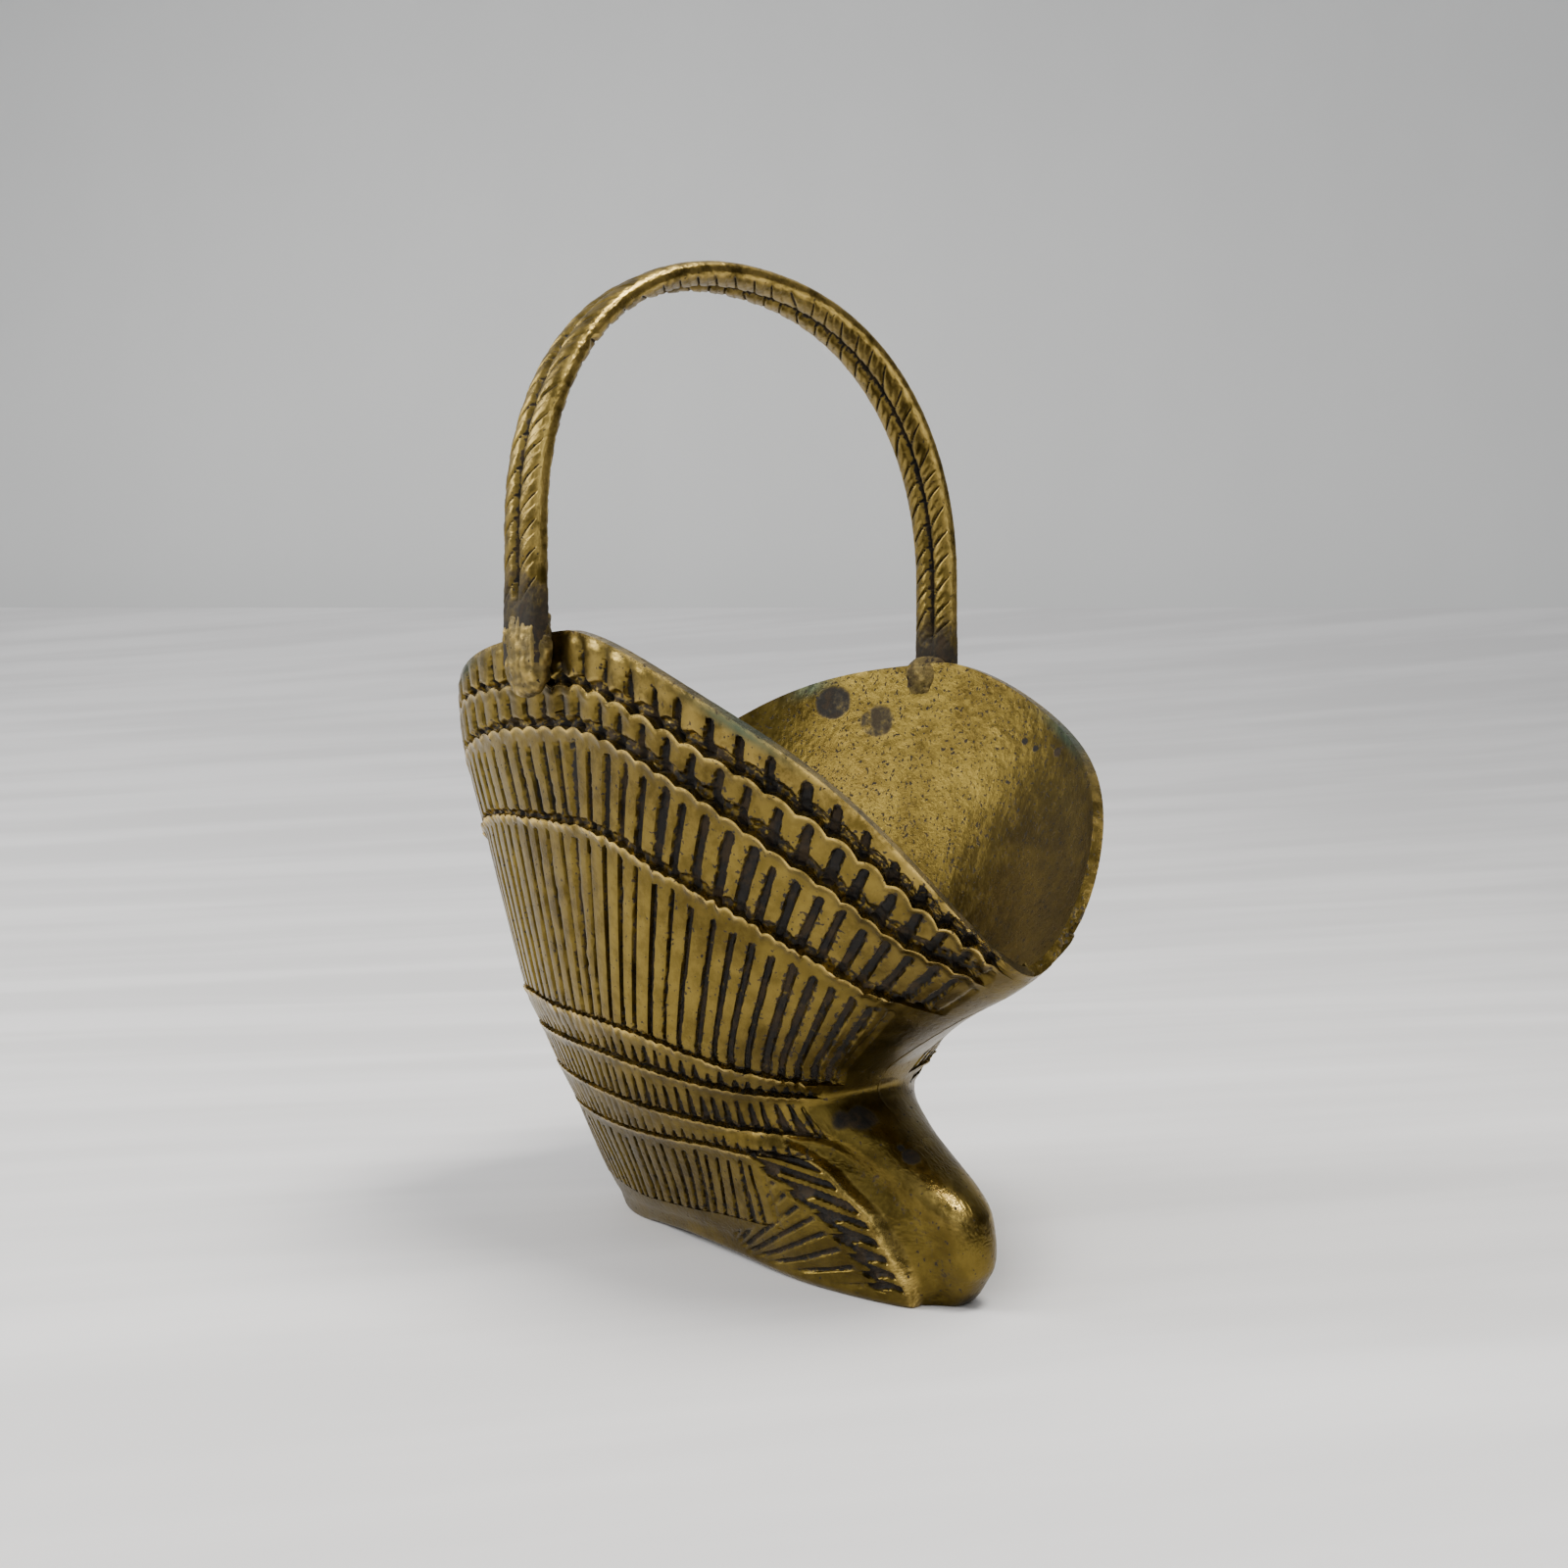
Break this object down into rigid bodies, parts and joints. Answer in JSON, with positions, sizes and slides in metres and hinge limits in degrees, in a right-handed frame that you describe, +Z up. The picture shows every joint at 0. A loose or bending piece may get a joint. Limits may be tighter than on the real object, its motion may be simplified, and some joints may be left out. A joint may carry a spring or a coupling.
{
  "type": "basket planter",
  "caption": "Cast brass basket planter with a scallop-shell body, a toe-like spur foot, a heart-shaped mouth and a fixed rope-pattern arch handle.",
  "frame": {"origin": "on the ground, on the centre plane between the two lobes, at the middle of the pot's length", "axes": "+Z up, +Y towards the back of the pot (the toe and the low front lip point along -Y), +X to the pot's left-to-right across the two lobes"},
  "size_m": [0.1172, 0.1318, 0.1975],
  "materials": {
    "cast_shell": "aged cast brass, dark patina in the recesses",
    "handle_strip": "aged cast brass, filed edges",
    "braze_filler": "rough brazing filler"
  },
  "bodies": {
    "root": {"left_half_shell": "cast_shell", "right_half_shell": "cast_shell", "seam_braze": "braze_filler", "rope_handle": "handle_strip", "left_handle_braze": "braze_filler", "right_handle_braze": "braze_filler"}
  },
  "joints": []
}
